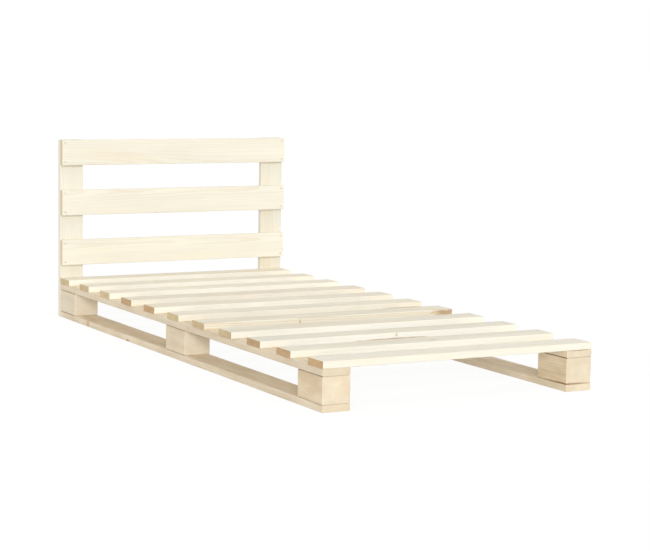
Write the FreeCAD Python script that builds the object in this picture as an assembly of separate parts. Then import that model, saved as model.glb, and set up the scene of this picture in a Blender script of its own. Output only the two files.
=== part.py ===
"""Pallet bed frame: two block rails, a slatted deck across them and a boarded headboard on two posts."""
import FreeCAD, Part
import math
import os
from collections import namedtuple

# Driving sizes in millimetres. X runs across the bed, Y from foot to head, Z up from the floor.
bed_w = 900.0               # across the slats, the rails and the headboard
rail_l = 2020.0             # runners and stringers, from the foot end to the posts
post_h = 645.0              # floor to the top of the headboard
plank_w = 88.0              # width of the blocks and of every plank but the headboard's
headboard_board_w = 92.0    # width of the headboard's boards
plank_t = 21.0              # thickness of every plank
block_l = 148.0             # blocks along the rail
block_h = 80.0              # blocks from runner to stringer
middle_block_shift = 20.0   # middle blocks stand this far from mid-length, towards the foot
slat_count = 11
headboard_clear = 47.0      # clear space between the deck and the lowest headboard board
plank_ease = 2.0            # chamfer along the long edges of a plank
plank_end_ease = 1.2        # chamfer round its sawn ends
block_ease = 3.0            # chamfer on every edge of a block

# Screws. Board screws hold plank to plank, block screws hold a plank to a block.
board_screw_d = 3.0
board_screw_head_d = 6.0
board_screw_cover = 6.5     # wood left beyond the tip of a board screw
block_screw_d = 5.0
block_screw_head_d = 10.0
block_screw_bite = 39.5     # depth of a block screw's tip inside the block
screw_tip_l = 5.0
screw_tip_r = 0.6
screw_flats = 8             # flats that a screw and its hole are turned with
head_sink = 0.5             # heads stand this far below the face
hole_gap = 0.2              # between a screw's body or tip and its hole
seat_gap = 0.1              # between a screw's head and its countersink

# Where the screws stand.
slat_screw_end = 18.0         # from the end of a slat
slat_screw_edge = 14.0        # from its long edges
headboard_screw_end = 12.0    # from the end of a headboard board
headboard_screw_edge = 12.0   # from its long edges
rail_screw_shift = 18.0       # stringer screws this far inside a rail's middle line, runner screws outside
stringer_screw_pitch = 40.0
runner_screw_end = 30.0       # from the block's ends
post_screw_edge = 18.0        # from the block's top and bottom

X = FreeCAD.Vector(1, 0, 0)
Y = FreeCAD.Vector(0, 1, 0)
Z = FreeCAD.Vector(0, 0, 1)
SIDES = {"left": -1, "right": 1}

# Levels of the stack, and the places along the bed that the pieces share.
runner_top = plank_t
block_top = runner_top + block_h
stringer_top = block_top + plank_t
deck_top = stringer_top + plank_t
foot_y = -(rail_l + plank_t) / 2
head_y = foot_y + rail_l
middle_y = (foot_y + head_y) / 2
rail_x = (bed_w - plank_w) / 2
headboard_y = head_y - plank_t / 2
slat_pitch = (rail_l - plank_w) / (slat_count - 1)
slat_ys = [head_y - plank_w / 2 - i * slat_pitch for i in range(slat_count)]
block_ys = {
    "head": head_y - block_l / 2,
    "middle": middle_y - middle_block_shift,
    "foot": foot_y + block_l / 2,
}
headboard_top_z = post_h - headboard_board_w / 2
headboard_lower_z = deck_top + headboard_clear + headboard_board_w / 2
headboard_zs = {
    "top": headboard_top_z,
    "middle": (headboard_top_z + headboard_lower_z) / 2,
    "lower": headboard_lower_z,
}

# A screw: the middle of its hole's mouth on the clamped plank, the way it drives, and its sizes.
Screw = namedtuple("Screw", "mouth drive body_d head_d length")


def board_screw(mouth, drive):
    length = 2 * plank_t - head_sink - board_screw_cover
    return Screw(mouth, drive, board_screw_d, board_screw_head_d, length)


def block_screw(mouth, drive):
    length = plank_t - head_sink + block_screw_bite
    return Screw(mouth, drive, block_screw_d, block_screw_head_d, length)


def timber(size, edge_ease, end_ease, centre, along, face):
    """A sawn length with its edges eased: along is its grain, face squares its broad side."""
    length, width, thickness = size
    half_w = width / 2
    half_t = thickness / 2
    quarter = [(half_w, half_t - edge_ease), (half_w - edge_ease, half_t)]
    half = quarter + [(-w, t) for w, t in reversed(quarter)]
    outline = half + [(-w, -t) for w, t in half]
    profile = Part.makePolygon([FreeCAD.Vector(0, w, t) for w, t in outline + outline[:1]])
    piece = Part.Face(profile).extrude(FreeCAD.Vector(length, 0, 0))
    piece = piece.makeChamfer(end_ease, [e for e in piece.Edges if e.BoundBox.XLength < end_ease])
    turn = FreeCAD.Rotation(along, face.cross(along), face, "XZY")
    return piece.transformed(FreeCAD.Placement(centre - along * (length / 2), turn).toMatrix())


def plank(length, width, centre, along, face):
    return timber((length, width, plank_t), plank_ease, plank_end_ease, centre, along, face)


def block(centre):
    return timber((block_l, plank_w, block_h), block_ease, block_ease, centre, Y, Z)


def turned(outline, screw):
    """A solid turned with flats about a screw's axis, from (radius, depth) points below the mouth."""
    def ring(radius, depth):
        turns = [2 * math.pi * i / screw_flats for i in range(screw_flats)]
        return [FreeCAD.Vector(radius * math.cos(a), radius * math.sin(a), depth) for a in turns]

    def flat(*corners):
        return Part.Face(Part.makePolygon(corners + corners[:1]))

    rings = [ring(radius, depth) for radius, depth in outline]
    faces = [flat(*rings[0]), flat(*rings[-1])]
    for above, below in zip(rings, rings[1:]):
        for i in range(screw_flats):
            faces.append(flat(above[i - 1], above[i], below[i], below[i - 1]))
    solid = Part.Solid(Part.Shell(faces))
    turn = FreeCAD.Rotation(Z, screw.drive)
    return solid.transformed(FreeCAD.Placement(screw.mouth, turn).toMatrix())


def screw_solid(screw):
    """A countersunk wood screw."""
    body_r = screw.body_d / 2
    head_r = screw.head_d / 2
    tip = head_sink + screw.length
    return turned([
        (head_r, head_sink),
        (body_r, head_sink + head_r - body_r),
        (body_r, tip - screw_tip_l),
        (screw_tip_r, tip),
    ], screw)


def screw_hole(screw):
    """The countersink and the hole below it, drilled through the clamped plank into the piece behind."""
    bore_r = screw.body_d / 2 + hole_gap
    sink_r = screw.head_d / 2 + seat_gap
    return turned([
        (sink_r + 2 * head_sink, -head_sink),
        (bore_r, head_sink + sink_r - bore_r),
        (bore_r, head_sink + screw.length + hole_gap),
    ], screw)


def drilled(piece, screws):
    """The piece with the hole of every screw that reaches it."""
    return piece.cut([screw_hole(s) for s in screws]) if screws else piece


def export(name, shape):
    shape.exportStep(os.path.join("parts", name + ".step"))


def end_screws(middle, face, reach):
    """Two board screws side by side across a board's face, each at reach from the middle of the pair."""
    spread = face.cross(X) * reach
    return [board_screw(middle + spread * s, face * -1) for s in (-1, 1)]


def slat_screws(y, side):
    middle = FreeCAD.Vector(side * (bed_w / 2 - slat_screw_end), y, deck_top)
    return end_screws(middle, Z, plank_w / 2 - slat_screw_edge)


def headboard_screws(z, side):
    middle = FreeCAD.Vector(side * (bed_w / 2 - headboard_screw_end), head_y - plank_t, z)
    return end_screws(middle, Y * -1, headboard_board_w / 2 - headboard_screw_edge)


def stringer_screws(place, side):
    """Two block screws down through a stringer, covered by the slat above the block."""
    x = side * (rail_x - rail_screw_shift)
    y = {"head": head_y - plank_w / 2, "middle": middle_y, "foot": foot_y + plank_w / 2}[place]
    reach = stringer_screw_pitch / 2
    return [block_screw(FreeCAD.Vector(x, y + s * reach, stringer_top), Z * -1) for s in (-1, 1)]


def runner_screws(place, side):
    """Two block screws up through a runner, near the block's ends."""
    x = side * (rail_x + rail_screw_shift)
    reach = block_l / 2 - runner_screw_end
    return [block_screw(FreeCAD.Vector(x, block_ys[place] + s * reach, 0), Z) for s in (-1, 1)]


def post_screws(side):
    """Two block screws through a post into the end of the head block."""
    zs = (runner_top + post_screw_edge, block_top - post_screw_edge)
    return [block_screw(FreeCAD.Vector(side * rail_x, head_y + plank_t, z), Y * -1) for z in zs]


def rail_pieces(name, side):
    """One side of the bed: runner, blocks, stringer and the post at its head, all drilled."""
    x = side * rail_x
    deck_screws = [s for y in slat_ys for s in slat_screws(y, side)]
    board_screws = [s for z in headboard_zs.values() for s in headboard_screws(z, side)]
    down = {place: stringer_screws(place, side) for place in block_ys}
    up = {place: runner_screws(place, side) for place in block_ys}
    back = post_screws(side)

    runner = plank(rail_l, plank_w, FreeCAD.Vector(x, middle_y, plank_t / 2), Y, Z)
    stringer = plank(rail_l, plank_w, FreeCAD.Vector(x, middle_y, block_top + plank_t / 2), Y, Z)
    post = plank(post_h, plank_w, FreeCAD.Vector(x, head_y + plank_t / 2, post_h / 2), Z, Y)
    pieces = {
        name + "_runner": drilled(runner, sum(up.values(), [])),
        name + "_stringer": drilled(stringer, deck_screws + sum(down.values(), [])),
        name + "_post": drilled(post, board_screws + back),
    }
    for place, y in block_ys.items():
        screws = down[place] + up[place] + (back if place == "head" else [])
        solid = block(FreeCAD.Vector(x, y, runner_top + block_h / 2))
        pieces[name + "_" + place + "_block"] = drilled(solid, screws)
    return pieces


def slats():
    pieces = {}
    for i, y in enumerate(slat_ys):
        slat = plank(bed_w, plank_w, FreeCAD.Vector(0, y, stringer_top + plank_t / 2), X, Z)
        screws = [s for side in SIDES.values() for s in slat_screws(y, side)]
        pieces["slat_%02d" % (i + 1)] = drilled(slat, screws)
    return pieces


def headboard_boards():
    pieces = {}
    for name, z in headboard_zs.items():
        board = plank(bed_w, headboard_board_w, FreeCAD.Vector(0, headboard_y, z), X, Y)
        screws = [s for side in SIDES.values() for s in headboard_screws(z, side)]
        pieces["headboard_" + name + "_board"] = drilled(board, screws)
    return pieces


def screw_groups():
    """Every screw of one kind as one group of separate solids."""
    sides = SIDES.values()
    groups = {
        "slat_screws": [slat_screws(y, side) for y in slat_ys for side in sides],
        "headboard_screws": [headboard_screws(z, side) for z in headboard_zs.values() for side in sides],
        "stringer_screws": [stringer_screws(place, side) for place in block_ys for side in sides],
        "runner_screws": [runner_screws(place, side) for place in block_ys for side in sides],
        "post_screws": [post_screws(side) for side in sides],
    }
    return {
        name: Part.makeCompound([screw_solid(s) for pair in pairs for s in pair])
        for name, pairs in groups.items()
    }


os.makedirs("parts", exist_ok=True)
nodes = {}
for side_name, side_sign in SIDES.items():
    nodes.update(rail_pieces(side_name, side_sign))
nodes.update(slats())
nodes.update(headboard_boards())
nodes.update(screw_groups())
for node_name, node_shape in nodes.items():
    export(node_name, node_shape)
print(len(nodes), "nodes,", sum(len(shape.Solids) for shape in nodes.values()), "solids")
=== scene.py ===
"""Pallet bed frame of raw pine: every timber and screw, a plain studio and the camera."""
import math
import random

import bpy
from bpy.props import FloatProperty, FloatVectorProperty, PointerProperty
from bpy.types import Operator, Panel, PropertyGroup
from mathutils import Matrix, Vector


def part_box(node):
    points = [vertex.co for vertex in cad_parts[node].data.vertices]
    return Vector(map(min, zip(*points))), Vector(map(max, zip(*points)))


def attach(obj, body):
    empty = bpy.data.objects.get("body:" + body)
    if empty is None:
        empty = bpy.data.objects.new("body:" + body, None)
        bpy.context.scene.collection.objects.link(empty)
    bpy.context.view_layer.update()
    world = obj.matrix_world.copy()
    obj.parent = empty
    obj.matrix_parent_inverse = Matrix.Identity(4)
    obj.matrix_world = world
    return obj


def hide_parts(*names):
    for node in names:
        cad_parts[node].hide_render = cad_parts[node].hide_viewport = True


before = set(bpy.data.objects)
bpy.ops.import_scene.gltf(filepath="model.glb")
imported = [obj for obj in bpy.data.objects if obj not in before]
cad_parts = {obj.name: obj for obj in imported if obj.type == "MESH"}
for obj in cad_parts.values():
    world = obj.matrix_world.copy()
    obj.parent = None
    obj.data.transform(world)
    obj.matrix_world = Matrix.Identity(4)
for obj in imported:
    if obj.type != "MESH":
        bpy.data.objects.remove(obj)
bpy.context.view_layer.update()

bl_info = {
    "name": "Pallet bed frame",
    "version": (1, 0, 0),
    "blender": (4, 5, 0),
    "location": "View3D > Sidebar > Pallet Bed",
    "description": "Builds a pallet bed frame from sawn pine timbers and wood screws",
    "category": "Add Mesh",
}

X, Y, Z = Vector((1, 0, 0)), Vector((0, 1, 0)), Vector((0, 0, 1))
SIDES = {"left": -1, "right": 1}
BLOCKS = ("head", "middle", "foot")
SLATS = ["slat_%02d" % (i + 1) for i in range(11)]
BOARDS = ["headboard_%s_board" % name for name in ("top", "middle", "lower")]
COVERING_SLATS = {"head": SLATS[0], "middle": SLATS[5], "foot": SLATS[10]}

# How the wood differs from slat to slat: the one with the boldest figure, the warmer ones, those with brown
# ends, and how strongly painted light pales the narrow faces, to make up for the shade that falls between the
# slats.
FIGURED_SLAT = SLATS[6]
WARMER_SLATS = SLATS[:7]
BROWN_ENDED_SLATS = SLATS[3:5] + SLATS[8:]
EDGE_LIGHT_SHARES = {"slat_04": 0.7, "slat_06": 0.4, "slat_07": 0.0, "slat_10": 0.6, "slat_11": 0.0}
USUAL_EDGE_LIGHT = 0.9

# How strongly the ends of a block are tinted, and how warm its wood is.
BLOCK_TINTS = {"head": (0.0, 0.4), "middle": (0.0, 0.6), "foot": (0.125, 0.9)}
# The block whose joints with its planks get the darkest painted shade.
DEEPEST_SEAM_SHADE_BLOCK = "right_foot_block"

# Marks that stand out in the wood: the middle and radius of a knot,
# the middle and half sizes of a brown streak, and the size of a mark that a timber doesn't have.
# The streaks are bark and resin, except those on the right stringer under slat 11 and on the right foot block
# over its runner, which are painted shade in the joints, and those on slats 06 and 09, which are partly bark
# and partly painted shade of the gap under their lower front edges.
KNOTS = {
    "left_runner": ((-0.450, 0.725, 0.010), 0.0055),
    "slat_07": ((-0.116, -0.248, 0.131), 0.0018),
    "slat_09": ((0.010, -0.634, 0.136), 0.0013),
    "slat_10": ((0.035, -0.799, 0.143), 0.005),
}
STAINS_AND_SHADE_LINES = {
    "left_runner": ((-0.450, 0.362, 0.003), (0.004, 0.016, 0.006)),
    "right_stringer": ((0.406, -1.0205, 0.1215), (0.050, 0.004, 0.0018)),
    "right_foot_block": ((0.362, -1.0205, 0.0225), (0.100, 0.130, 0.006)),
    "slat_06": ((0.370, -0.055, 0.126), (0.120, 0.010, 0.003)),
    "slat_07": ((0.430, -0.250, 0.133), (0.075, 0.025, 0.014)),
    "slat_09": ((-0.010, -0.634, 0.1255), (0.160, 0.010, 0.0026)),
}
NO_MARK = 0.0001


def length_property(name, description, default):
    return FloatProperty(name=name, description=description, default=default, unit="LENGTH", precision=4)


def angle_property(name, description, default):
    return FloatProperty(name=name, description=description, default=default, subtype="ANGLE", precision=4)


def share_property(name, description, default):
    return FloatProperty(name=name, description=description, default=default, subtype="FACTOR", min=0, max=1)


def colour_property(name, description, default):
    return FloatVectorProperty(
        name=name, description=description, default=default, subtype="COLOR", min=0, max=1)


class TimberSettings(PropertyGroup):
    """Edges of the sawn timbers."""
    edge_round: length_property("Edge rounding", "Radius of a plank's long edges", 0.002)
    end_round: length_property("End rounding", "Radius round a plank's sawn ends", 0.0015)
    block_round: length_property("Block rounding", "Radius of every edge of a block", 0.003)
    edge_wear: length_property("Edge wear", "Deepest wear of the long edges", 0.0012)
    station_gap: length_property("Section spacing", "Distance between cross sections along a timber", 0.012)


class PineSettings(PropertyGroup):
    """Colours and figure of the raw pine."""
    early: colour_property("Early wood", "Pale spring part of a growth ring", (0.863, 0.828, 0.709))
    late: colour_property("Late wood", "Darker autumn part of a growth ring", (0.70, 0.56, 0.37))
    heart: colour_property("Heartwood", "Warm patches near the heart of the log", (0.85, 0.735, 0.54))
    # Painted light: a pale colour laid on the narrow faces of the slats, in place of the light that the shade
    # between the slats takes away.
    sapwood: colour_property("Sapwood", "Pale wood along the edges of the slats", (0.95, 0.925, 0.83))
    end: colour_property("End grain", "Tint of the brown sawn ends", (0.68, 0.49, 0.31))
    end_pale: colour_property("Pale end grain", "Tint of the yellow sawn ends", (0.69, 0.53, 0.27))
    rail: colour_property("Rail tint", "Deepest tint of the warmer wood of the rails", (0.907, 0.758, 0.595))
    knot: colour_property("Knot", "Inside of a knot", (0.62, 0.43, 0.24))
    knot_rim: colour_property("Knot rim", "Bark round a knot", (0.42, 0.26, 0.13))
    # Its brown also paints the shade lines that are listed with the streaks.
    stain: colour_property("Stain", "Brown streaks of bark and resin", (0.42, 0.27, 0.14))
    # Painted shade: the dark colour laid along the edges of the blocks where they meet a plank, where shade
    # falls in the joints.
    seam: colour_property("Seam", "Dark edges of the blocks under and over planks", (0.20, 0.11, 0.045))
    ring_width: length_property("Ring width", "Thickness of one year of growth", 0.0034)
    taper: FloatProperty(
        name="Taper", description="Growth of the log's radius along its length", default=0.009)
    knot_gap: length_property("Knot spacing", "Distance between places where a branch could grow", 0.17)
    knot_radius: length_property("Knot radius", "Radius of the largest scattered knots", 0.006)
    knot_share: share_property("Knot share", "Share of those places that have a knot", 0.07)
    ring_contrast: share_property("Ring contrast", "How strongly late wood shows", 0.26)
    roughness: share_property("Roughness", "Roughness of the planed faces", 0.62)


class ScrewSettings(PropertyGroup):
    """Sizes and places of the two kinds of screw."""
    board_head: length_property("Board screw head", "Head diameter of a plank to plank screw", 0.006)
    board_body: length_property("Board screw body", "Thread diameter of a plank to plank screw", 0.003)
    board_length: length_property("Board screw length", "Length of a plank to plank screw", 0.035)
    block_head: length_property("Block screw head", "Head diameter of a plank to block screw", 0.010)
    block_body: length_property("Block screw body", "Thread diameter of a plank to block screw", 0.005)
    block_length: length_property("Block screw length", "Length of a plank to block screw", 0.060)
    sink: length_property("Head depth", "Depth of a head below the face", 0.0005)
    seat_gap: length_property("Seat gap", "Room round a head and a body in their hole", 0.0002)
    pitch: length_property("Thread pitch", "Rise of one turn of the thread", 0.0022)
    slat_end: length_property("Slat end", "Screw to the end of a slat", 0.018)
    slat_edge: length_property("Slat edge", "Screw to the long edge of a slat", 0.014)
    headboard_end: length_property("Headboard end", "Screw to the end of a headboard board", 0.012)
    headboard_edge: length_property("Headboard edge", "Screw to the long edge of a headboard board", 0.012)
    rail_shift: length_property("Rail shift", "Stringer and runner screws to the rail's middle line", 0.018)
    stringer_pitch: length_property("Stringer pitch", "Between the two screws under a slat", 0.040)
    runner_end: length_property("Runner end", "Runner screw to the end of its block", 0.030)
    post_edge: length_property("Post edge", "Post screw to the top or bottom of its block", 0.018)
    steel: colour_property("Steel", "Clean parts of the yellow zinc plating", (0.84, 0.79, 0.64))
    dull_steel: colour_property("Dull steel", "Dull parts of the plating", (0.74, 0.67, 0.52))


class StageSettings(PropertyGroup):
    """Camera, lights and floor."""
    camera_place: FloatVectorProperty(
        name="Camera", description="Where the camera stands", default=(-2.9122, -5.5694, 0.9991),
        subtype="TRANSLATION", unit="LENGTH")
    camera_yaw: angle_property("Yaw", "Turn of the view from +Y towards +X", 0.4965)
    camera_pitch: angle_property("Pitch", "Tilt of the view above the horizon", -0.1192)
    camera_roll: angle_property("Roll", "Turn of the camera about its view", 0.0161)
    lens: FloatProperty(
        name="Lens", description="Focal length in millimetres", default=106.44, unit="CAMERA")
    key: FloatProperty(
        name="Key light", description="Strength of the low soft light by the camera", default=1.32)
    key_height: angle_property("Key height", "Height of that light above the horizon", 0.27)
    key_turn: angle_property("Key turn", "Turn of that light from the foot to the right", -0.43)
    top: FloatProperty(name="Top light", description="Strength of the high soft light", default=0.36)
    top_height: angle_property("Top height", "Height of that light above the horizon", 1.10)
    top_turn: angle_property("Top turn", "Turn of that light from the foot to the right", 0.10)
    spread: angle_property("Spread", "Width of each light as the bed sees it", 0.32)
    ambient: FloatProperty(name="Ambient", description="Light of the white room", default=0.69)
    floor: colour_property("Floor", "Pale floor", (0.90, 0.90, 0.90))
    shadow: share_property("Shadow", "How much of its shading the floor shows to the camera", 0.12)


class BedSettings(PropertyGroup):
    """Everything that a user of the bed may change."""
    timber: PointerProperty(type=TimberSettings)
    pine: PointerProperty(type=PineSettings)
    screw: PointerProperty(type=ScrewSettings)
    stage: PointerProperty(type=StageSettings)


def settings():
    return bpy.context.scene.pallet_bed


def opaque(colour):
    """A colour with the full alpha that a socket takes."""
    return tuple(colour) + (1,)


def pick(sockets, key):
    """A node's socket by its place in the list, its identifier or its name."""
    if isinstance(key, int):
        return sockets[key]
    return next(s for s in sockets if key in (s.identifier, s.name))


class Wire:
    """One value in a node tree. Arithmetic on wires adds Math nodes to the tree."""

    def __init__(self, tree, socket):
        self.tree = tree
        self.socket = socket

    def of(self, key):
        """Another output of the same node."""
        return Wire(self.tree, pick(self.socket.node.outputs, key))

    def math(self, operation, *others):
        return self.tree.add("ShaderNodeMath", [self, *others], operation=operation)

    def __add__(self, other):
        return self.math("ADD", other)

    def __radd__(self, other):
        return self.math("ADD", other)

    def __sub__(self, other):
        return self.math("SUBTRACT", other)

    def __rsub__(self, other):
        return self.tree.add("ShaderNodeMath", [other, self], operation="SUBTRACT")

    def __mul__(self, other):
        return self.math("MULTIPLY", other)

    def __rmul__(self, other):
        return self.math("MULTIPLY", other)

    def __truediv__(self, other):
        return self.math("DIVIDE", other)

    def __pow__(self, other):
        return self.math("POWER", other)


class Tree:
    """A node tree in the making, of a finish or of a shape."""

    def __init__(self, nodes):
        self.nodes = nodes

    def add(self, kind, inputs=(), output=0, stops=(), **options):
        """A node of one type: its settings and ramp stops, then the values or wires of its sockets."""
        node = self.nodes.nodes.new(kind)
        node.location.x = 180 * len(self.nodes.nodes)
        for name, value in options.items():
            setattr(node, name, value)
        for place, (position, value) in enumerate(stops):
            element = node.color_ramp.elements[0] if place == 0 else node.color_ramp.elements.new(position)
            element.position = position
            element.color = (value, value, value, 1)
        for key, value in inputs.items() if isinstance(inputs, dict) else enumerate(inputs):
            socket = pick(node.inputs, key)
            if isinstance(value, Wire):
                self.nodes.links.new(value.socket, socket)
            else:
                socket.default_value = value
        return Wire(self, pick(node.outputs, output)) if node.outputs else node

    def mix(self, factor, first, second, blend="MIX"):
        """A blend of two colours."""
        return self.add("ShaderNodeMix", {"Factor_Float": factor, "A_Color": first, "B_Color": second},
                        output="Result_Color", data_type="RGBA", blend_type=blend)

    def vector(self, operation, *terms, output=0):
        return self.add("ShaderNodeVectorMath", terms, output=output, operation=operation)

    def smooth(self, value, start, end):
        """A soft step from 0 at start to 1 at end."""
        return self.add("ShaderNodeMapRange", {"Value": value, "From Min": start, "From Max": end},
                        interpolation_type="SMOOTHSTEP")

    def attribute(self, name, output="Fac"):
        return self.add("ShaderNodeAttribute", output=output, attribute_name=name)


def finish_tree(name):
    """A new material and its emptied tree."""
    material = bpy.data.materials.new(name)
    material.use_nodes = True
    material.node_tree.nodes.clear()
    return material, Tree(material.node_tree)


def shape_tree(name, inputs):
    """A new geometry tree with named inputs, and the wire of each input."""
    group = bpy.data.node_groups.new(name, "GeometryNodeTree")
    group.interface.new_socket("Geometry", in_out="INPUT", socket_type="NodeSocketGeometry")
    for label, kind in inputs:
        group.interface.new_socket(label, in_out="INPUT", socket_type="NodeSocket" + kind)
    group.interface.new_socket("Geometry", in_out="OUTPUT", socket_type="NodeSocketGeometry")
    tree = Tree(group)
    return group, tree, tree.add("NodeGroupInput").of


def pine_finish():
    """Raw planed pine: growth rings round each timber's heart line, fibres, knots and browner sawn ends."""
    name = "raw pine"
    if name in bpy.data.materials:
        return bpy.data.materials[name]
    look = settings().pine
    material, wood = finish_tree(name)
    grain = wood.attribute("grain", "Vector")
    ends = wood.attribute("end_grain")
    tone = wood.attribute("tone")
    figure = wood.attribute("figure")
    along = wood.add("ShaderNodeSeparateXYZ", [grain])
    across, depth = along.of("Y"), along.of("Z")

    def ripple(stretch, detail=2.0):
        """Noise about zero, with its waves per metre along, across and through the timber."""
        place = wood.vector("MULTIPLY", grain, stretch)
        return wood.add("ShaderNodeTexNoise", {"Vector": place, "Scale": 1.0, "Detail": detail}) - 0.5

    # Knots: branches scattered over the log, which is unrolled at a radius of 6 cm, and one chosen knot
    # that a timber may have. A place without a branch is put 50 radii away.
    angle = across.math("ARCTAN2", depth)
    unrolled = wood.add("ShaderNodeCombineXYZ", [along, angle * 0.06, 0.0])
    cells = wood.add("ShaderNodeTexVoronoi", {"Vector": unrolled, "Scale": 1 / look.knot_gap},
                     voronoi_dimensions="2D")
    luck = wood.add("ShaderNodeSeparateXYZ", [cells.of("Color")])
    absent = luck.math("GREATER_THAN", look.knot_share)
    scattered = cells * look.knot_gap / (luck.of("Y") * look.knot_radius + 0.002) + absent * 50
    offset = wood.vector("SUBTRACT", grain, wood.attribute("knot", "Vector"))
    squeezed = wood.vector("MULTIPLY", offset, (0.5, 1, 0.4))
    chosen = wood.vector("LENGTH", squeezed, output="Value") / wood.attribute("knot_size")
    reach = scattered.math("MINIMUM", chosen) + ripple((60, 120, 120)) * 0.5
    knot = 1 - wood.smooth(reach, 0.75, 1.05)
    rim = wood.smooth(reach, 0.6, 0.95) * (1 - wood.smooth(reach, 1.0, 1.25))
    swirl = 1 - wood.smooth(reach, 0.8, 4.0)

    # A brown streak that a timber may have: on some it is bark and resin, on others painted shade in a joint
    # or under a lower edge.
    offset = wood.vector("SUBTRACT", grain, wood.attribute("stain", "Vector"))
    spread = wood.vector("DIVIDE", offset, wood.attribute("stain_size", "Vector"))
    ragged = wood.vector("LENGTH", spread, output="Value") + ripple((40, 160, 160), 3.0) * 0.9
    stain = 1 - wood.smooth(ragged, 0.35, 1.0)

    # Growth rings, bent round the knots.
    radius = (across ** 2 + depth ** 2) ** 0.5 + along * look.taper
    radius = radius + ripple((1.1, 6, 6)) * 0.020 + ripple((7, 45, 45)) * 0.0022 + swirl * swirl * 0.006
    years = radius / (figure * look.ring_width)
    uneven = wood.add("ShaderNodeTexNoise", {"W": years * 0.23, "Scale": 1.0}, noise_dimensions="1D")
    ring = wood.add("ShaderNodeValToRGB", [(years + uneven * 2.5).math("FRACT")],
                    stops=((0.0, 0.35), (0.1, 0.0), (0.45, 0.12), (0.84, 1.0), (0.95, 0.8), (1.0, 0.35)))

    # Fibres, long streaks, short resin ducts, soft patches and the mottle of the warmer wood.
    fibre = ripple((6, 380, 380), 3.0)
    streak = ripple((2.2, 60, 60), 3.0)
    ducts = wood.smooth(ripple((38, 1500, 1500)), 0.16, 0.28)
    patch = ripple((2.6, 14, 14), 3.0)
    warm = wood.smooth(ripple((1.4, 11, 11)), 0.02, 0.22)
    warmth = wood.attribute("warmth")
    mottle = ripple((7, 24, 24), 3.0) * warmth

    # The colours, laid over each other by their shares, and then tinted and shaded.
    layers = (
        (warm * 0.40, look.heart),
        (wood.smooth(streak, 0.06, 0.25) * figure * 0.22, look.heart),
        (ducts * 0.10, look.late),
        # Painted light on the narrow faces of the slats.
        (wood.attribute("sapwood"), look.sapwood),
        (swirl * 0.35, look.heart),
        (knot * 0.60, look.knot),
        (rim * 0.55, look.knot_rim),
        # Bark and resin streaks, and painted shade lines at some joints and lower edges.
        (stain * 0.8, look.stain),
    )
    colour = wood.mix(ring * figure * look.ring_contrast, opaque(look.early), opaque(look.late))
    for share, layer in layers:
        colour = wood.mix(share, colour, opaque(layer))
    colour = wood.mix(warmth + mottle * 1.3, colour, opaque(look.rail), "MULTIPLY")
    brown = wood.smooth(ends, 0.8, 0.95)
    end_colour = wood.mix(brown, opaque(look.end_pale), opaque(look.end))
    colour = wood.mix(ends, colour, end_colour, "MULTIPLY")
    # Painted shade along the edges of the blocks that meet a plank, fading towards the block's ends.
    colour = wood.mix(wood.attribute("seam") * (1 + ripple((25, 60, 60))), colour, opaque(look.seam))
    shade = 1 + patch * 0.16 + streak * 0.08 + fibre * 0.10 + (tone - 0.5) * 0.07
    shade = shade + ends * ripple((90, 30, 60)) * 0.5 - mottle * 0.55
    colour = wood.add("ShaderNodeVectorMath", {0: colour, "Scale": shade}, operation="SCALE")

    height = ring * 0.5 + fibre * 1.2 - ducts * 0.4 - rim * 0.6
    bump = wood.add("ShaderNodeBump", {"Strength": 0.35, "Distance": 0.0004, "Height": height})
    rough = look.roughness + fibre * 0.16 - knot * 0.12 + ends * 0.12
    surface = wood.add("ShaderNodeBsdfPrincipled", {
        "Base Color": colour, "Roughness": rough, "Normal": bump, "Specular IOR Level": 0.35})
    wood.add("ShaderNodeOutputMaterial", [surface])
    return material


def steel_finish():
    """Yellow zinc plated steel of the screws."""
    name = "screw steel"
    if name in bpy.data.materials:
        return bpy.data.materials[name]
    look = settings().screw
    material, steel = finish_tree(name)
    place = steel.add("ShaderNodeTexCoord", output="Object")
    cloud = steel.add("ShaderNodeTexNoise", {"Vector": place, "Scale": 900.0, "Detail": 3.0})
    dulled = steel.smooth(cloud, 0.35, 0.7)
    colour = steel.mix(dulled, opaque(look.steel), opaque(look.dull_steel))
    surface = steel.add("ShaderNodeBsdfPrincipled", {
        "Base Color": colour, "Metallic": 1.0, "Roughness": 0.34 + cloud * 0.25})
    steel.add("ShaderNodeOutputMaterial", [surface])
    return material


def turned(tree, outline, sides=20):
    """A closed form turned about Z, through rings given as (radius, height)."""
    index = tree.add("GeometryNodeInputIndex")

    def by_ring(values):
        value = values[0]
        for ring, (before, after) in enumerate(zip(values, values[1:])):
            value = index.math("GREATER_THAN", ring + 0.5) * (after - before) + value
        return value

    radii, heights = zip(*outline)
    line = tree.add("GeometryNodeCurvePrimitiveLine")
    line = tree.add("GeometryNodeResampleCurve", {"Curve": line, "Count": len(outline)}, mode="COUNT")
    place = tree.add("ShaderNodeCombineXYZ", {"Z": by_ring(heights)})
    line = tree.add("GeometryNodeSetPosition", {"Geometry": line, "Position": place})
    circle = tree.add("GeometryNodeCurvePrimitiveCircle", {"Resolution": sides, "Radius": 1.0})
    return tree.add("GeometryNodeCurveToMesh", {
        "Curve": line, "Profile Curve": circle, "Scale": by_ring(radii), "Fill Caps": True})


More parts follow.
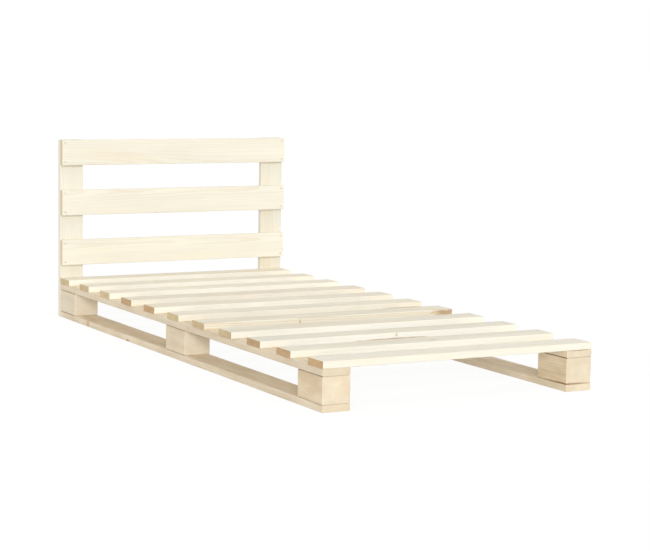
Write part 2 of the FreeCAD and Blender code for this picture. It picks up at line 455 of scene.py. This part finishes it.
def driven(tree, points, form):
    """A form set on every screw place, its Z along the way the screw drives, turned by chance."""
    spin = tree.add("FunctionNodeRandomValue", {"Max_001": 2 * math.pi, "Seed": 7}, output="Value_001")
    start = tree.add("FunctionNodeEulerToRotation", [tree.add("ShaderNodeCombineXYZ", {"Z": spin})])
    drive = tree.add("GeometryNodeInputNamedAttribute", {"Name": "drive"}, data_type="FLOAT_VECTOR")
    turn = tree.add("FunctionNodeAlignRotationToVector", {"Rotation": start, "Vector": drive}, axis="Z")
    placed = tree.add("GeometryNodeInstanceOnPoints", {"Points": points, "Instance": form, "Rotation": turn})
    return tree.add("GeometryNodeRealizeInstances", [placed])


def cut(tree, mesh, cutter):
    return tree.add("GeometryNodeMeshBoolean", {"Mesh 1": mesh, "Mesh 2": cutter},
                    operation="DIFFERENCE", solver="EXACT")


def shaded(tree, mesh, crease):
    """Smooth faces, with edges sharper than the crease angle kept sharp."""
    mesh = tree.add("GeometryNodeSetShadeSmooth", {"Geometry": mesh}, domain="FACE")
    soft = tree.add("GeometryNodeInputMeshEdgeAngle").math("LESS_THAN", crease)
    return tree.add("GeometryNodeSetShadeSmooth", {"Geometry": mesh, "Shade Smooth": soft}, domain="EDGE")


def finished(tree, mesh, material):
    """The tree's output: plain faces with their finish."""
    mesh = tree.add("GeometryNodeRealizeInstances", [mesh])
    mesh = tree.add("GeometryNodeSetMaterial", {"Geometry": mesh, "Material": material})
    tree.add("NodeGroupOutput", [mesh])


TIMBER_INPUTS = (
    ("Length", "Float"), ("Width", "Float"), ("Thickness", "Float"), ("Edge Round", "Float"),
    ("End Round", "Float"), ("Edge Wear", "Float"), ("Stations", "Int"), ("Screw Head", "Float"),
    ("Screw Body", "Float"), ("Screw Sink", "Float"), ("Screw Gap", "Float"), ("Heart", "Vector"),
    ("Tone", "Float"), ("Warmth", "Float"), ("Knot", "Vector"), ("Knot Size", "Float"),
    ("Stain", "Vector"), ("Stain Size", "Vector"), ("End Tint", "Float"), ("Seam", "Float"),
    ("Figure", "Float"), ("Sapwood", "Float"), ("Place", "Vector"), ("Turn", "Rotation"),
    ("Finish", "Material"),
)

# Cross sections that a timber has for its rounded ends, besides the evenly spaced ones.
END_STATIONS = 6


def timber_tree():
    """Shape of a sawn timber: rounded section run along X, worn edges, countersunk holes and its grain."""
    name = "sawn timber"
    if name in bpy.data.node_groups:
        return bpy.data.node_groups[name]
    group, tree, size = shape_tree(name, TIMBER_INPUTS)
    length, width, thickness = size("Length"), size("Width"), size("Thickness")
    edge, end, stations = size("Edge Round"), size("End Round"), size("Stations")
    half = length * 0.5

    # The section and its stations along the timber, two of them close to each end.
    section = tree.add("GeometryNodeCurvePrimitiveQuadrilateral", {"Width": width, "Height": thickness})
    section = tree.add("GeometryNodeFilletCurve", {"Curve": section, "Count": 4, "Radius": edge}, mode="POLY")
    index = tree.add("GeometryNodeInputIndex")
    between_ends = tree.add("ShaderNodeMapRange", {
        "Value": index, "From Min": 2.0, "From Max": stations - 3,
        "To Min": end - half, "To Max": half - end})
    past_ends = (index - stations + 3).math("MAXIMUM", 0.0) - (2 - index).math("MAXIMUM", 0.0)
    line = tree.add("GeometryNodeCurvePrimitiveLine", {"End": (1, 0, 0)})
    line = tree.add("GeometryNodeResampleCurve", {"Curve": line, "Count": stations}, mode="COUNT")
    place = tree.add("ShaderNodeCombineXYZ", {"X": between_ends + past_ends * end * 0.5})
    line = tree.add("GeometryNodeSetPosition", {"Geometry": line, "Position": place})
    mesh = tree.add("GeometryNodeCurveToMesh", {"Curve": line, "Profile Curve": section, "Fill Caps": True})

    # Ends drawn in by their rounding, and arrises worn here and there.
    position = tree.add("GeometryNodeInputPosition")
    x = tree.add("ShaderNodeSeparateXYZ", [position])
    y, z = x.of("Y"), x.of("Z")
    buried = (x.math("ABSOLUTE") - half + end).math("MAXIMUM", 0.0)
    drawn_in = end - (end ** 2 - buried ** 2).math("MAXIMUM", 0.0) ** 0.5
    on_arris = ((width * 0.5 - y.math("ABSOLUTE")).math("GREATER_THAN", edge * 0.05)
                * (thickness * 0.5 - z.math("ABSOLUTE")).math("GREATER_THAN", edge * 0.05))
    in_log = tree.vector("ADD", position, size("Heart"))
    chance = tree.add("ShaderNodeTexNoise", {"Vector": in_log, "Scale": 14.0, "Detail": 3.0})
    worn = tree.smooth(chance, 0.38, 0.70) * on_arris * size("Edge Wear") + drawn_in
    inward = tree.add("ShaderNodeCombineXYZ", {
        "Y": y.math("SIGN") * worn * -1, "Z": z.math("SIGN") * worn * -1})
    mesh = tree.add("GeometryNodeSetPosition", {"Geometry": mesh, "Offset": inward})

    # A countersunk hole under every screw place.
    gap, sink = size("Screw Gap"), size("Screw Sink")
    head, bore = size("Screw Head") * 0.5 + gap, size("Screw Body") * 0.5 + gap
    hole = turned(tree, [
        (head + sink * 2, sink * -1), (bore, head + sink - bore), (bore, thickness * 1.1)])
    mesh = cut(tree, mesh, driven(tree, size("Geometry"), hole))

    # Where each point lies in the log, which faces are sawn across the grain, the narrow faces, which get
    # painted light, and the edges that a plank covers, which get painted shade where shade falls in the
    # joint.
    normal = tree.add("ShaderNodeSeparateXYZ", [tree.add("GeometryNodeInputNormal")])
    across_grain = normal.math("ABSOLUTE").math("GREATER_THAN", 0.7)
    narrow_face = normal.of("Y").math("ABSOLUTE").math("GREATER_THAN", 0.7)
    seam = tree.smooth(z.math("ABSOLUTE"), thickness * 0.5 - edge, thickness * 0.5 - edge * 0.3)
    seam = seam * (1 - tree.smooth(x.math("ABSOLUTE"), half - end, half - end * 0.4) * 0.85)
    stored = (
        ("grain", "FLOAT_VECTOR", "POINT", in_log),
        ("knot", "FLOAT_VECTOR", "POINT", tree.vector("ADD", size("Knot"), size("Heart"))),
        ("knot_size", "FLOAT", "POINT", size("Knot Size")),
        ("stain", "FLOAT_VECTOR", "POINT", tree.vector("ADD", size("Stain"), size("Heart"))),
        ("stain_size", "FLOAT_VECTOR", "POINT", size("Stain Size")),
        ("figure", "FLOAT", "POINT", size("Figure")),
        ("seam", "FLOAT", "POINT", seam * size("Seam")),
        ("tone", "FLOAT", "POINT", size("Tone")),
        ("warmth", "FLOAT", "FACE", (1 - across_grain * 0.5) * size("Warmth")),
        ("end_grain", "FLOAT", "FACE", across_grain * size("End Tint")),
        ("sapwood", "FLOAT", "FACE", narrow_face * size("Sapwood")),
    )
    for label, kind, domain, value in stored:
        mesh = tree.add("GeometryNodeStoreNamedAttribute", {"Geometry": mesh, "Name": label, "Value": value},
                        data_type=kind, domain=domain)
    mesh = shaded(tree, mesh, math.radians(35))
    mesh = tree.add("GeometryNodeTransform", {
        "Geometry": mesh, "Translation": size("Place"), "Rotation": size("Turn")})
    finished(tree, mesh, size("Finish"))
    return group


SCREW_INPUTS = (
    ("Head", "Float"), ("Body", "Float"), ("Length", "Float"), ("Sink", "Float"), ("Pitch", "Float"),
    ("Finish", "Material"),
)

# Proportions of a screw: its core and the length of its point by the thread's radius, the ridge by the
# thread's depth, the point's end by the core, and the rim and the blades of the recess by the head.
CORE = 0.72
POINT_LENGTH = 2.6
RIDGE = 0.9
POINT_END = 0.12
RIM = 0.06
BLADE_MOUTH = 0.6
BLADE_END = 0.14
BLADE_DEPTH = 0.62
BLADE_THINNING = 0.24


def screw_tree():
    """Shape of countersunk wood screws with a cross recess, one on every screw place."""
    name = "wood screws"
    if name in bpy.data.node_groups:
        return bpy.data.node_groups[name]
    group, tree, size = shape_tree(name, SCREW_INPUTS)
    head, body, length = size("Head") * 0.5, size("Body") * 0.5, size("Length")
    core, tip, rim = body * CORE, body * POINT_LENGTH, head * RIM
    neck = head - core + rim
    screw = turned(tree, [
        (head, 0.0), (head, rim), (core, neck), (core, length - tip), (core * POINT_END, length)])

    # The cross recess: two crossed blades cut in, from a little outside the head's face.
    blade = tree.add("GeometryNodeMeshCone", {
        "Vertices": 4, "Radius Top": head * BLADE_END, "Radius Bottom": head * BLADE_MOUTH,
        "Depth": head * BLADE_DEPTH})
    blade = tree.add("GeometryNodeTransform", {
        "Geometry": blade, "Translation": (0, 0, -0.0001), "Scale": (1.0, BLADE_THINNING, 1.0)})
    for turn in (0, math.pi / 2):
        cutter = tree.add("GeometryNodeTransform", {"Geometry": blade, "Rotation": (0, 0, turn)})
        screw = cut(tree, screw, cutter)
    screw = tree.add("GeometryNodeMergeByDistance", {"Geometry": screw, "Distance": 0.00001})

    # The thread: a spiral ridge from under the neck to the tip.
    rise = length - tip - neck
    spiral = tree.add("GeometryNodeCurveSpiral", {
        "Resolution": 12, "Rotations": rise / size("Pitch"), "Start Radius": core, "End Radius": core,
        "Height": rise})
    ridge = tree.add("GeometryNodeCurvePrimitiveCircle", {"Resolution": 3, "Radius": (body - core) * RIDGE})
    thread = tree.add("GeometryNodeCurveToMesh", {"Curve": spiral, "Profile Curve": ridge, "Fill Caps": True})
    up = tree.add("ShaderNodeCombineXYZ", {"Z": neck})
    thread = tree.add("GeometryNodeTransform", {"Geometry": thread, "Translation": up})
    joined = tree.add("GeometryNodeJoinGeometry")
    for part in (screw, thread):
        tree.nodes.links.new(part.socket, joined.socket.node.inputs[0])
    down = tree.add("ShaderNodeCombineXYZ", {"Z": size("Sink")})
    sunk = tree.add("GeometryNodeTransform", {"Geometry": joined, "Translation": down})
    mesh = shaded(tree, driven(tree, size("Geometry"), sunk), math.radians(30))
    finished(tree, mesh, size("Finish"))
    return group


def shaped(name, group, places, values):
    """A plain mesh made by a shape tree from screw places, given as (mouth, drive)."""
    mesh = bpy.data.meshes.new(name)
    mesh.from_pydata([mouth for mouth, drive in places], [], [])
    drives = mesh.attributes.new("drive", "FLOAT_VECTOR", "POINT")
    for item, (mouth, drive) in zip(drives.data, places):
        item.vector = drive
    piece = bpy.data.objects.new(name, mesh)
    bpy.context.scene.collection.objects.link(piece)
    shape = piece.modifiers.new("shape", "NODES")
    shape.node_group = group
    for item in group.interface.items_tree:
        if item.name in values:
            shape[item.identifier] = values[item.name]
    normals = piece.modifiers.new("flat faces", "WEIGHTED_NORMAL")
    normals.keep_sharp = True
    graph = bpy.context.evaluated_depsgraph_get()
    plain = bpy.data.meshes.new_from_object(
        piece.evaluated_get(graph), preserve_all_data_layers=True, depsgraph=graph)
    piece.modifiers.clear()
    piece.data = plain
    plain.name = name
    bpy.data.meshes.remove(mesh)
    if not plain.polygons:
        raise RuntimeError(name + " has no faces")
    return piece


def timber(node, places=(), kind="board", end_tint=1.0, warmth=0.0, seam=0.0, figure=1.0, sapwood=0.0):
    """The dressed timber that stands for a wooden node, bored for screws of one kind at the places."""
    edges, screw = settings().timber, settings().screw
    low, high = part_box(node)
    size = high - low
    thin, wide, long = sorted(range(3), key=lambda axis: size[axis])
    axes = Matrix.Identity(3)
    turn = Matrix((axes[long], axes[wide], axes[thin])).transposed()
    if turn.determinant() < 0:
        turn.col[1] = -turn.col[1]
    place = (low + high) / 2
    to_local = turn.transposed()
    is_block = size[thin] > size[wide] / 2

    # The log's heart line runs beside the timber, at a place that chance gives.
    chance = random.Random(node)
    heart_depth = chance.choice((-1, 1)) * chance.uniform(0.018, 0.06) * (2 if is_block else 1)
    heart = (chance.uniform(1, 40), chance.uniform(-0.045, 0.045), heart_depth)
    knot, knot_size = KNOTS.get(node, (place, NO_MARK))
    stain, stain_size = STAINS_AND_SHADE_LINES.get(node, (place, (NO_MARK, NO_MARK, NO_MARK)))
    values = {
        "Length": size[long], "Width": size[wide], "Thickness": size[thin],
        "Edge Round": edges.block_round if is_block else edges.edge_round,
        "End Round": edges.block_round if is_block else edges.end_round, "Edge Wear": edges.edge_wear,
        "Stations": round(size[long] / edges.station_gap) + END_STATIONS,
        "Screw Head": getattr(screw, kind + "_head"), "Screw Body": getattr(screw, kind + "_body"),
        "Screw Sink": screw.sink, "Screw Gap": screw.seat_gap,
        "Heart": heart, "Tone": chance.random(), "Warmth": warmth, "End Tint": end_tint,
        "Seam": seam, "Figure": figure * chance.uniform(0.85, 1.45), "Sapwood": sapwood,
        "Knot": to_local @ (Vector(knot) - place), "Knot Size": knot_size,
        "Stain": to_local @ (Vector(stain) - place),
        "Stain Size": [abs(a) for a in to_local @ Vector(stain_size)],
        "Place": place, "Turn": turn.to_euler(), "Finish": pine_finish(),
    }
    local = [(to_local @ (mouth - place), to_local @ drive) for mouth, drive in places]
    piece = shaped("pine_" + node, timber_tree(), local, values)
    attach(piece, "root")
    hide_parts(node)


def middle(node):
    low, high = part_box(node)
    return (low + high) / 2


def cross_board_places(node, drive, from_end, from_edge):
    """Screw places of a board across the bed: two at each end, on the face that the screws drive in from."""
    low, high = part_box(node)
    centre, half = (low + high) / 2, (high - low) / 2
    spread = drive.cross(X)
    face = centre - drive * abs(drive.dot(half))
    inset = X * (half.x - from_end)
    reach = spread * (abs(spread.dot(half)) - from_edge)
    return [(face + inset * end + reach * side, drive) for end in (-1, 1) for side in (-1, 1)]


def slat_places(node):
    screw = settings().screw
    return cross_board_places(node, -Z, screw.slat_end, screw.slat_edge)


def board_places(node):
    screw = settings().screw
    return cross_board_places(node, Y, screw.headboard_end, screw.headboard_edge)


def stringer_places(side):
    """Two screws down into each block, under the slat that covers them."""
    screw = settings().screw
    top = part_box(side + "_stringer")[1].z
    x = middle(side + "_stringer").x - SIDES[side] * screw.rail_shift
    return [
        (Vector((x, middle(COVERING_SLATS[block]).y + s * screw.stringer_pitch / 2, top)), -Z)
        for block in BLOCKS for s in (-1, 1)
    ]


def runner_places(side):
    """Two screws up into each block from under the runner, near the block's ends."""
    screw = settings().screw
    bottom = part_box(side + "_runner")[0].z
    x = middle(side + "_runner").x + SIDES[side] * screw.rail_shift
    places = []
    for block in BLOCKS:
        low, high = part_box("%s_%s_block" % (side, block))
        places += [(Vector((x, y, bottom)), Z) for y in (low.y + screw.runner_end, high.y - screw.runner_end)]
    return places


def post_places(side):
    """Two screws through the post into the end of the head block."""
    screw = settings().screw
    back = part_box(side + "_post")[1].y
    low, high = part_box(side + "_head_block")
    x = middle(side + "_post").x
    return [(Vector((x, back, z)), -Y) for z in (low.z + screw.post_edge, high.z - screw.post_edge)]


def screws(node, places, kind):
    """The dressed screws that stand for one group of like screws."""
    screw = settings().screw
    values = {
        "Head": getattr(screw, kind + "_head"), "Body": getattr(screw, kind + "_body"),
        "Length": getattr(screw, kind + "_length"), "Sink": screw.sink, "Pitch": screw.pitch,
        "Finish": steel_finish(),
    }
    piece = shaped("steel_" + node, screw_tree(), places, values)
    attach(piece, "root")
    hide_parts(node)


class PALLETBED_OT_rails(Operator):
    """Runners on the floor and stringers on the blocks"""
    bl_idname = "pallet_bed.rails"
    bl_label = "Runners and stringers"

    def execute(self, context):
        for side in SIDES:
            timber(side + "_runner", runner_places(side), "block", end_tint=0.26, warmth=0.6)
            timber(side + "_stringer", stringer_places(side), "block", end_tint=0.26, warmth=0.6)
        return {"FINISHED"}


class PALLETBED_OT_blocks(Operator):
    """Six blocks between the runners and the stringers"""
    bl_idname = "pallet_bed.blocks"
    bl_label = "Blocks"

    def execute(self, context):
        for side in SIDES:
            for block in BLOCKS:
                node = "%s_%s_block" % (side, block)
                end_tint, warmth = BLOCK_TINTS[block]
                # Painted shade in the joints of each block with its planks, darkest under the right foot
                # block.
                seam = 1.0 if node == DEEPEST_SEAM_SHADE_BLOCK else 0.65
                timber(node, end_tint=end_tint, warmth=warmth, seam=seam)
        return {"FINISHED"}


class PALLETBED_OT_slats(Operator):
    """Slats of the deck, screwed down at both ends"""
    bl_idname = "pallet_bed.slats"
    bl_label = "Slats"

    def execute(self, context):
        for slat in SLATS:
            timber(slat, slat_places(slat), "board",
                   end_tint=1.0 if slat in BROWN_ENDED_SLATS else 0.75,
                   warmth=0.15 if slat in WARMER_SLATS else 0.0,
                   figure=2.0 if slat == FIGURED_SLAT else 1.0,
                   # Painted light that pales the slat's narrow faces, by the share listed above.
                   sapwood=EDGE_LIGHT_SHARES.get(slat, USUAL_EDGE_LIGHT))
        return {"FINISHED"}


class PALLETBED_OT_posts(Operator):
    """Posts that carry the headboard"""
    bl_idname = "pallet_bed.posts"
    bl_label = "Posts"

    def execute(self, context):
        for side in SIDES:
            timber(side + "_post", post_places(side), "block", end_tint=0.3, figure=0.75)
        return {"FINISHED"}


class PALLETBED_OT_headboard(Operator):
    """Boards across the posts"""
    bl_idname = "pallet_bed.headboard"
    bl_label = "Headboard boards"

    def execute(self, context):
        for board in BOARDS:
            timber(board, board_places(board), "board", end_tint=0.5, figure=0.75)
        return {"FINISHED"}


class PALLETBED_OT_screws(Operator):
    """Countersunk wood screws of every joint"""
    bl_idname = "pallet_bed.screws"
    bl_label = "Screws"

    def execute(self, context):
        screws("slat_screws", [place for slat in SLATS for place in slat_places(slat)], "board")
        screws("headboard_screws", [place for board in BOARDS for place in board_places(board)], "board")
        screws("stringer_screws", [place for side in SIDES for place in stringer_places(side)], "block")
        screws("runner_screws", [place for side in SIDES for place in runner_places(side)], "block")
        screws("post_screws", [place for side in SIDES for place in post_places(side)], "block")
        return {"FINISHED"}


def seen_directly(tree):
    """1 for rays from the camera, mirrors and glass, 0 for the light that falls on the bed."""
    path = tree.add("ShaderNodeLightPath", output="Is Camera Ray")
    return path.math("MAXIMUM", path.of("Is Glossy Ray")).math("MAXIMUM", path.of("Is Transmission Ray"))


def floor_finish():
    """A pale floor that shows the camera white paper with a faint shadow."""
    stage = settings().stage
    material, floor = finish_tree("pale floor")

    # Plain paper from a little way off the bed, on an oval that is longer along the bed.
    place = floor.add("ShaderNodeTexCoord", output="Object")
    squeezed = floor.vector("MULTIPLY", place, (1, 0.6, 1))
    far = floor.smooth(floor.vector("LENGTH", squeezed, output="Value"), 0.9, 2.2)
    paper = floor.add("ShaderNodeEmission", {"Color": (1, 1, 1, 1), "Strength": 1.03})
    matt = floor.add("ShaderNodeBsdfDiffuse", {"Color": opaque(stage.floor)})
    share = seen_directly(floor) * (1 - stage.shadow + far * stage.shadow)
    floor.add("ShaderNodeOutputMaterial", [floor.add("ShaderNodeMixShader", [share, matt, paper])])
    return material


def lamp(name):
    """A far soft light, seen from the bed at a height above the horizon and a turn from the foot end."""
    stage = settings().stage
    light = bpy.data.lights.new(name, "SUN")
    light.energy = getattr(stage, name)
    light.angle = stage.spread
    lamp_object = bpy.data.objects.new(name, light)
    tilt = math.pi / 2 - getattr(stage, name + "_height")
    lamp_object.rotation_euler = (tilt, 0, getattr(stage, name + "_turn"))
    bpy.context.scene.collection.objects.link(lamp_object)


class PALLETBED_OT_stage(Operator):
    """Pale floor, soft studio light and the camera"""
    bl_idname = "pallet_bed.stage"
    bl_label = "Stage"

    def execute(self, context):
        stage = settings().stage
        scene = context.scene
        mesh = bpy.data.meshes.new("floor")
        reach = 60
        corners = ((-reach, -reach, 0), (reach, -reach, 0), (reach, reach, 0), (-reach, reach, 0))
        mesh.from_pydata(corners, [], [(0, 1, 2, 3)])
        mesh.materials.append(floor_finish())
        floor = bpy.data.objects.new("floor", mesh)
        scene.collection.objects.link(floor)

        lamp("key")
        lamp("top")

        world = bpy.data.worlds.new("white room")
        world.use_nodes = True
        world.node_tree.nodes.clear()
        room = Tree(world.node_tree)
        seen = seen_directly(room)
        strength = seen + (1 - seen) * stage.ambient
        light = room.add("ShaderNodeBackground", {"Color": (1, 1, 1, 1), "Strength": strength})
        room.add("ShaderNodeOutputWorld", [light])
        scene.world = world

        camera = bpy.data.cameras.new("camera")
        camera.lens = stage.lens
        view = bpy.data.objects.new("camera", camera)
        scene.collection.objects.link(view)
        view.matrix_world = (
            Matrix.Translation(stage.camera_place)
            @ Matrix.Rotation(-stage.camera_yaw, 4, "Z")
            @ Matrix.Rotation(math.pi / 2 + stage.camera_pitch, 4, "X")
            @ Matrix.Rotation(stage.camera_roll, 4, "Z"))
        scene.camera = view
        scene.view_settings.view_transform = "Standard"
        return {"FINISHED"}


class PALLETBED_PT_panel(Panel):
    """Sizes, finishes and operators of the bed"""
    bl_label = "Pallet bed frame"
    bl_idname = "PALLETBED_PT_panel"
    bl_space_type = "VIEW_3D"
    bl_region_type = "UI"
    bl_category = "Pallet Bed"

    def draw(self, context):
        for operator in OPERATORS:
            self.layout.operator(operator.bl_idname)
        for group in ("timber", "pine", "screw", "stage"):
            box = self.layout.box()
            box.label(text=group.capitalize())
            values = getattr(settings(), group)
            for name in values.bl_rna.properties.keys():
                if name not in ("rna_type", "name"):
                    box.prop(values, name)


OPERATORS = (
    PALLETBED_OT_rails, PALLETBED_OT_blocks, PALLETBED_OT_slats, PALLETBED_OT_posts, PALLETBED_OT_headboard,
    PALLETBED_OT_screws, PALLETBED_OT_stage,
)
SETTINGS = (TimberSettings, PineSettings, ScrewSettings, StageSettings, BedSettings)
CLASSES = SETTINGS + OPERATORS + (PALLETBED_PT_panel,)


def register():
    for cls in CLASSES:
        bpy.utils.register_class(cls)
    bpy.types.Scene.pallet_bed = PointerProperty(type=BedSettings)


def unregister():
    del bpy.types.Scene.pallet_bed
    for cls in reversed(CLASSES):
        bpy.utils.unregister_class(cls)


def main():
    register()
    bpy.ops.pallet_bed.rails()
    bpy.ops.pallet_bed.blocks()
    bpy.ops.pallet_bed.slats()
    bpy.ops.pallet_bed.posts()
    bpy.ops.pallet_bed.headboard()
    bpy.ops.pallet_bed.screws()
    bpy.ops.pallet_bed.stage()


if __name__ == "__main__":
    main()
